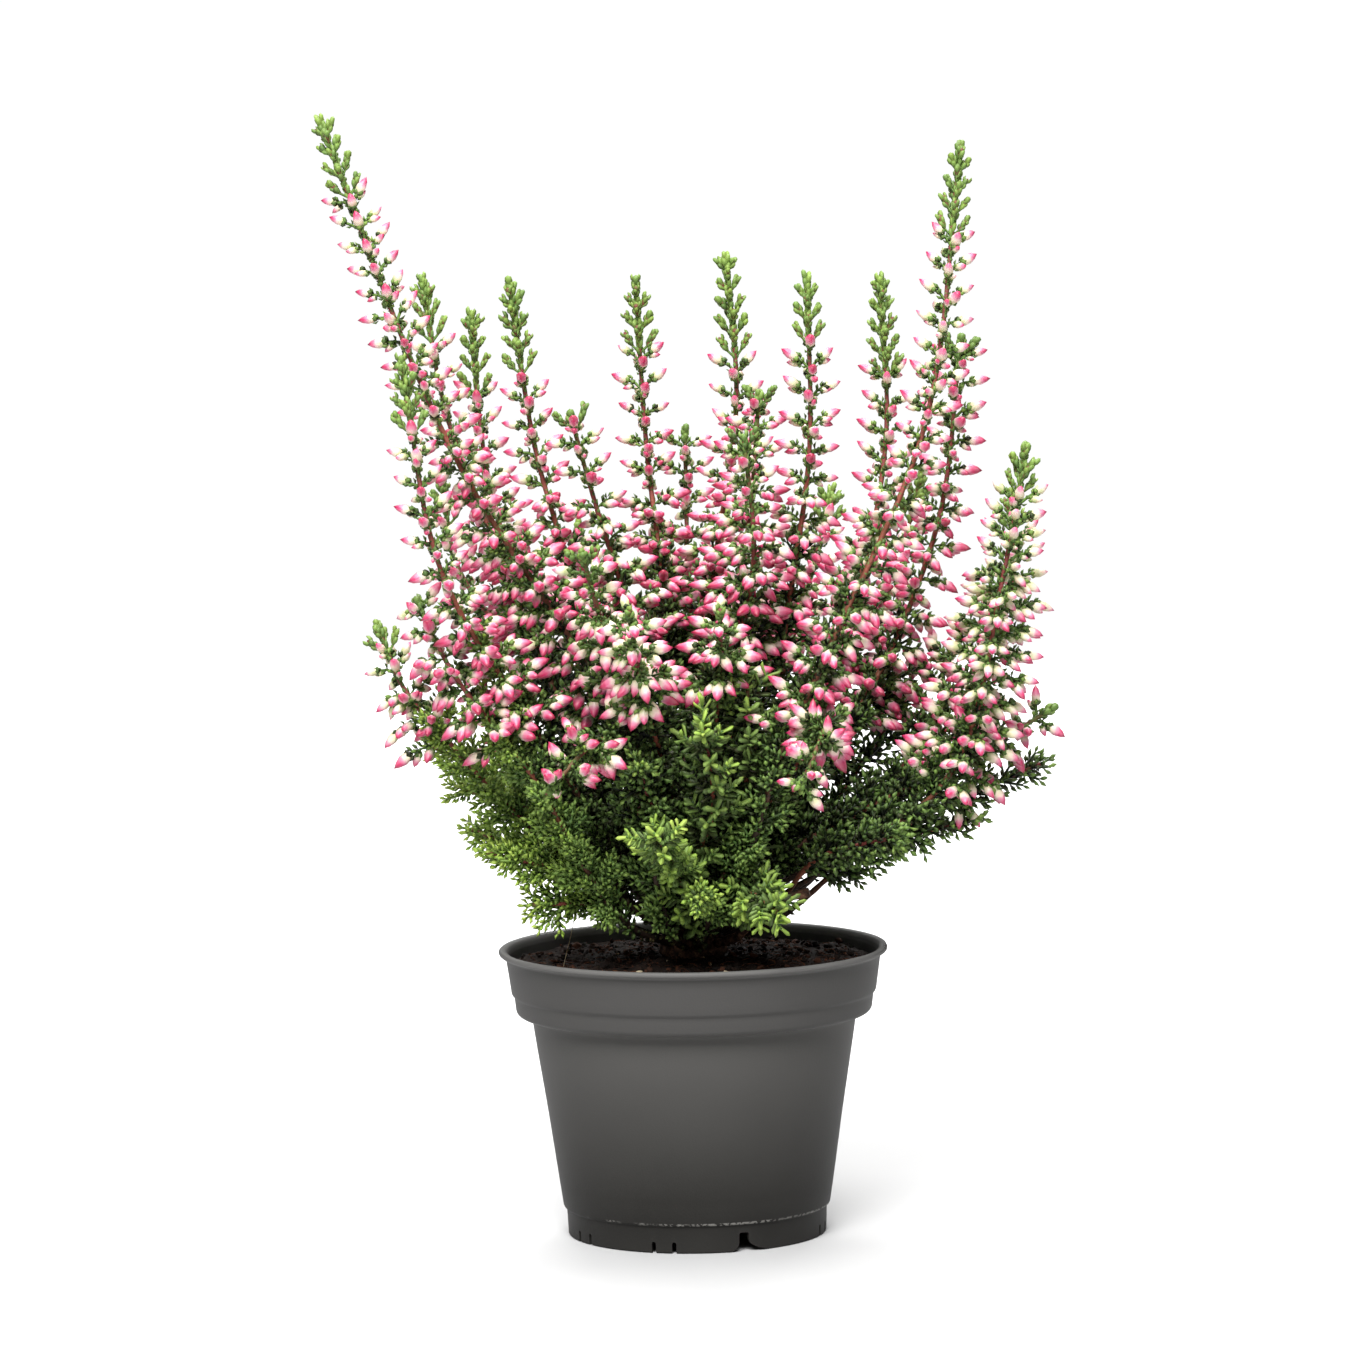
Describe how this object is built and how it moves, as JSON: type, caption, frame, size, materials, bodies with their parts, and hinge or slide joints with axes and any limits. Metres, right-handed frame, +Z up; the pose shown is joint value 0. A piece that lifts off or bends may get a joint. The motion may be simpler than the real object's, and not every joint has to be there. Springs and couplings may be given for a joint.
{
  "type": "potted heather",
  "caption": "Bud-blooming heather in a tapered plastic nursery pot: thin woody stems set with pointed pink buds and ending in bright green tips, above low leafy shoots, standing in dark peat.",
  "frame": {"origin": "on the pot's axis, on the surface that the pot stands on, which is the middle of the bottom of the whole object's box", "axes": "+Z up along the pot's axis, -Y towards the viewer of the picture, +X to the viewer's right"},
  "size_m": [0.168, 0.1466, 0.2605],
  "materials": {
    "pot_plastic": "satin",
    "peat": "matte",
    "old_wood": "matte",
    "flower_spikes": "satin",
    "leafy_shoots": "satin"
  },
  "bodies": {
    "root": {"cut_branch": "old_wood", "flower_spike_01": "flower_spikes", "flower_spike_02": "flower_spikes", "flower_spike_03": "flower_spikes", "flower_spike_04": "flower_spikes", "flower_spike_05": "flower_spikes", "flower_spike_06": "flower_spikes", "flower_spike_07": "flower_spikes", "flower_spike_08": "flower_spikes", "flower_spike_09": "flower_spikes", "flower_spike_10": "flower_spikes", "flower_spike_11": "flower_spikes", "flower_spike_12": "flower_spikes", "flower_spike_13": "flower_spikes", "flower_spike_14": "flower_spikes", "flower_spike_15": "flower_spikes", "flower_spike_16": "flower_spikes", "flower_spike_17": "flower_spikes", "flower_spike_18": "flower_spikes", "flower_spike_19": "flower_spikes", "flower_spike_20": "flower_spikes", "flower_spike_21": "flower_spikes", "flower_spike_22": "flower_spikes", "flower_spike_23": "flower_spikes", "flower_spike_24": "flower_spikes", "flower_spike_25": "flower_spikes", "flower_spike_26": "flower_spikes", "flower_spike_27": "flower_spikes", "flower_spike_28": "flower_spikes", "flower_spike_29": "flower_spikes", "flower_spike_30": "flower_spikes", "flower_spike_31": "flower_spikes", "leafy_shoot_01": "leafy_shoots", "leafy_shoot_02": "leafy_shoots", "leafy_shoot_03": "leafy_shoots", "leafy_shoot_04": "leafy_shoots", "leafy_shoot_05": "leafy_shoots", "leafy_shoot_06": "leafy_shoots", "leafy_shoot_07": "leafy_shoots", "leafy_shoot_08": "leafy_shoots", "leafy_shoot_09": "leafy_shoots", "leafy_shoot_10": "leafy_shoots", "leafy_shoot_11": "leafy_shoots", "leafy_shoot_12": "leafy_shoots", "leafy_shoot_13": "leafy_shoots", "leafy_shoot_14": "leafy_shoots", "leafy_shoot_15": "leafy_shoots", "leafy_shoot_16": "leafy_shoots", "leafy_shoot_17": "leafy_shoots", "leafy_shoot_18": "leafy_shoots", "leafy_shoot_19": "leafy_shoots", "leafy_shoot_20": "leafy_shoots", "leafy_shoot_21": "leafy_shoots", "pot": "pot_plastic", "root_crown": "old_wood", "soil": "peat"}
  },
  "joints": []
}
